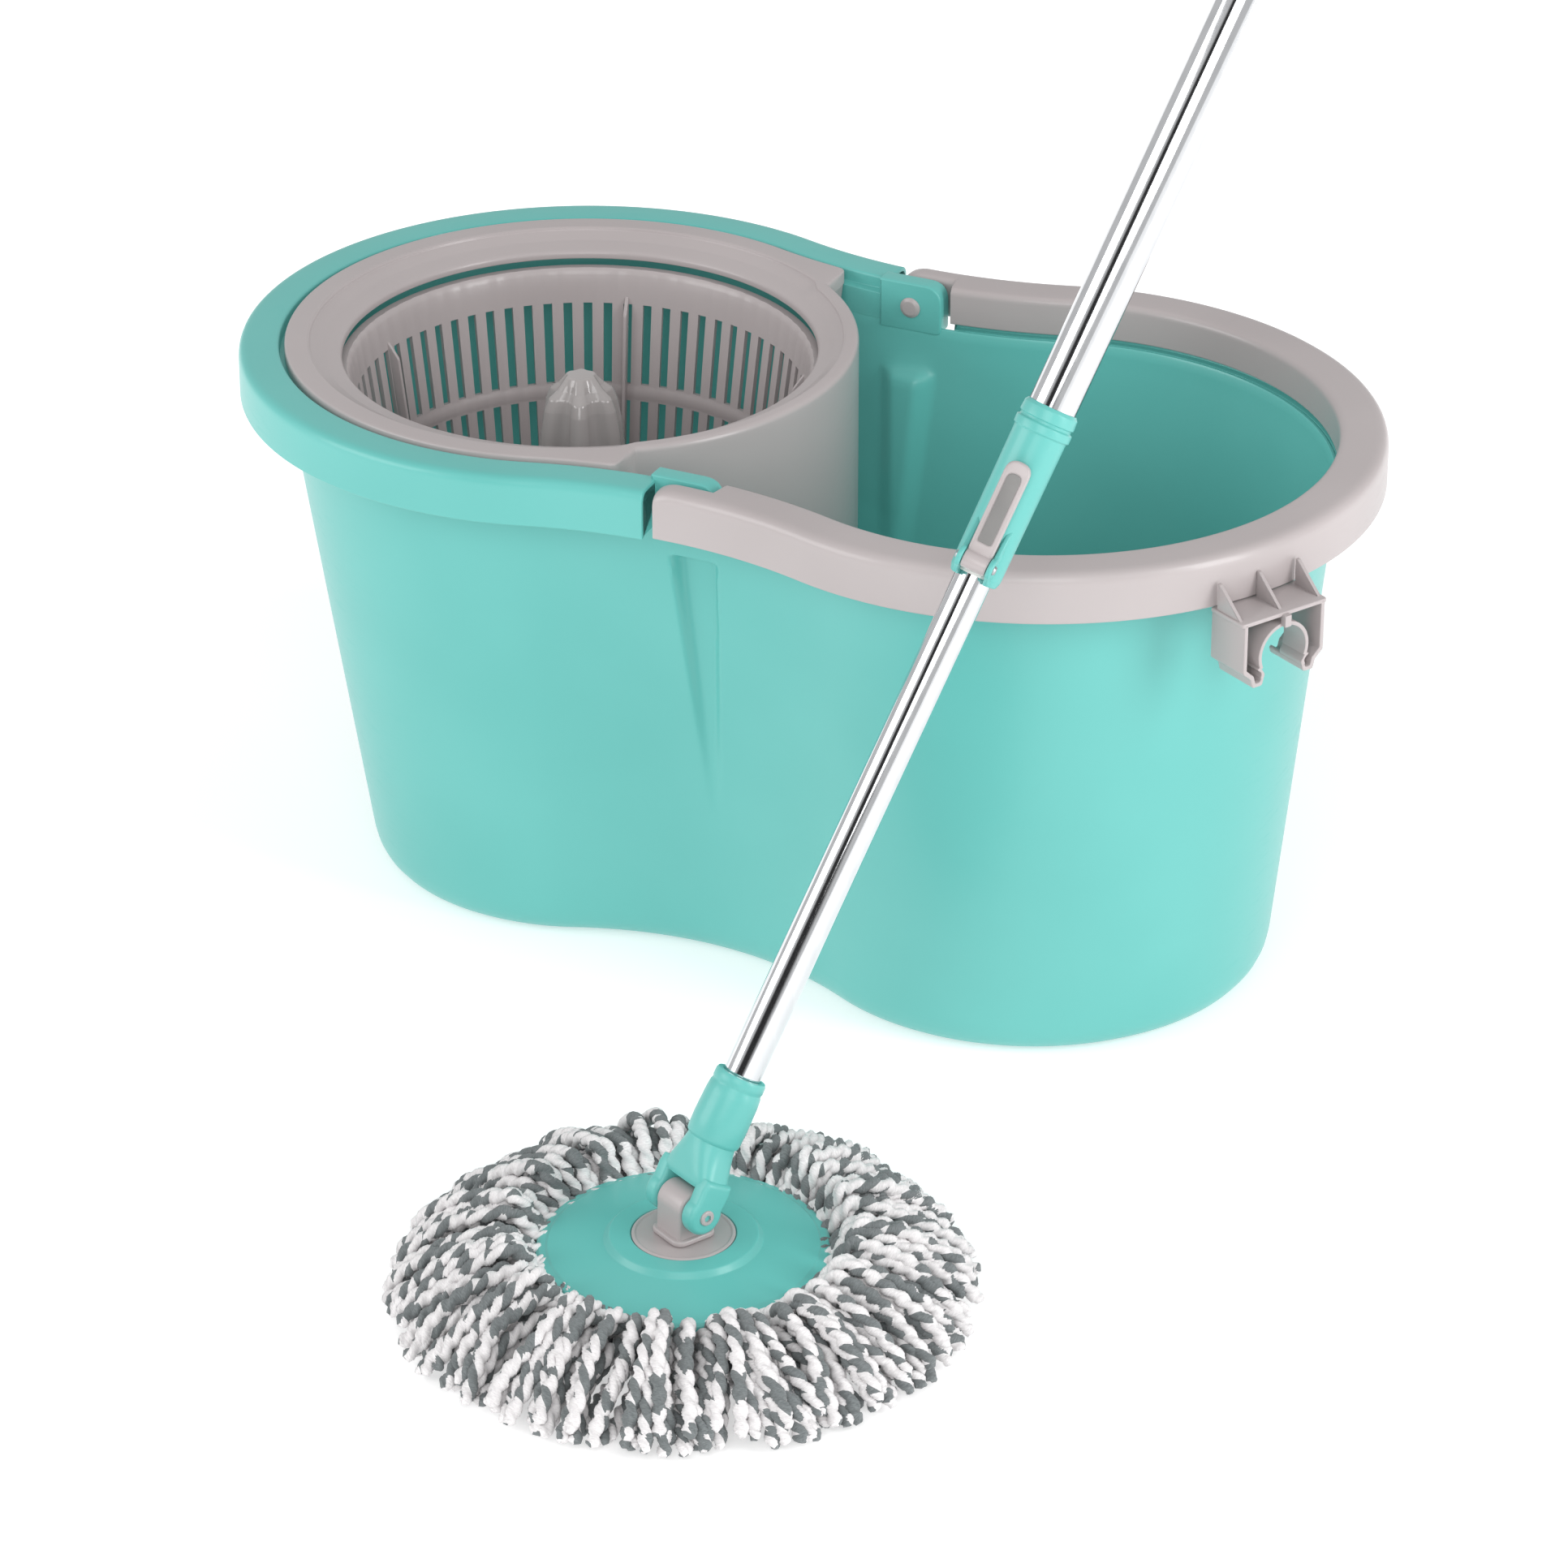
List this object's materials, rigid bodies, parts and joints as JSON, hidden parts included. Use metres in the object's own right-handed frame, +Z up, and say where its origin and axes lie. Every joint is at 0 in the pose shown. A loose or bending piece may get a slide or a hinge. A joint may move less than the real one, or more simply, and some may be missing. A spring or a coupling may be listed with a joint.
{
  "type": "spin mop and bucket",
  "caption": "Two-lobed plastic bucket with a wringing basket, a swinging carry handle with a pole clip, and a round mop on a leaning telescopic pole.",
  "frame": {"origin": "on the underside of the bucket, midway between the axes of its two lobes", "axes": "+Z up, +X towards the water lobe, -X towards the basket lobe, -Y towards the mop in front"},
  "size_m": [0.6152, 0.6325, 0.8515],
  "materials": {
    "teal": "satin moulded",
    "grey": "satin moulded",
    "pale": "glossy moulded",
    "dark": "matte moulded",
    "white": "matte moulded",
    "chrome": "polished",
    "steel": "turned",
    "brass": "turned",
    "yarn": "chenille microfibre, white and grey"
  },
  "bodies": {
    "bucket": {"bucket": "teal", "wringer_ring": "grey", "spindle": "steel", "thrust_washer": "brass", "spindle_clip": "steel"},
    "basket": {"basket": "grey", "drive_boss": "pale", "lower_bush": "brass", "upper_bush": "brass", "bush_spacer": "white"},
    "handle": {"handle": "grey", "pole_clip": "grey", "handle_pin_front": "grey", "handle_pin_back": "grey"},
    "knuckle": {"knuckle": "grey", "swivel_plate": "grey", "swivel_washer": "steel", "swivel_screw": "steel"},
    "head": {"mop_disc": "teal", "refill_ring": "white", "fringe": "yarn"},
    "lower_pole": {"yoke": "teal", "yoke_screw": "steel", "tilt_pin": "grey", "lower_tube": "chrome", "guide_bush": "white", "clutch_housing": "white"},
    "drive_nut": {"drive_nut": "dark"},
    "upper_pole": {"upper_tube": "chrome", "lock_collar": "teal", "lever_pin": "steel", "brake_sleeve": "white", "spiral_bar": "steel", "bar_anchor": "white", "grip": "teal", "hanging_cap": "grey"},
    "lever": {"lock_lever": "grey", "lever_inlay": "dark"}
  },
  "joints": [
    {"name": "basket_spin", "type": "hinge", "parent": "bucket", "child": "basket", "pos_m": [-0.114, 0, 0.14], "axis": [0, 0, 1], "continuous": true},
    {"name": "handle_swing", "type": "hinge", "parent": "bucket", "child": "handle", "pos_m": [0, 0, 0.25], "axis": [0, -1, 0], "range_deg": [0, 92]},
    {"name": "mop_lift", "type": "slide", "parent": "bucket", "child": "knuckle", "axis": [0, 0, 1], "range_m": [0, 0.3]},
    {"name": "head_spin", "type": "hinge", "parent": "knuckle", "child": "head", "pos_m": [0.1094, -0.3481, 0.025], "axis": [0, 0, 1], "continuous": true},
    {"name": "pole_tilt", "type": "hinge", "parent": "knuckle", "child": "lower_pole", "pos_m": [0.1094, -0.3481, 0.0479], "axis": [-0.8846, 0.4664, 0], "range_deg": [-111, 12]},
    {"name": "pole_slide", "type": "slide", "parent": "lower_pole", "child": "upper_pole", "axis": [0.2423, 0.4596, 0.8545], "range_m": [-0.2, 0.1]},
    {"name": "drive_nut_spin", "type": "hinge", "parent": "lower_pole", "child": "drive_nut", "pos_m": [0.22839, -0.12241, 0.46753], "axis": [0.2423, 0.4596, 0.8545], "range_deg": [-305, 605]},
    {"name": "lock_lever_open", "type": "hinge", "parent": "upper_pole", "child": "lever", "pos_m": [0.1842, -0.22524, 0.30586], "axis": [0.9424, 0.0978, -0.3198], "range_deg": [0, 70]}
  ],
  "couplings": [
    {"joint": "drive_nut_spin", "follows": "pole_slide", "rad_per_m": -52.36}
  ]
}
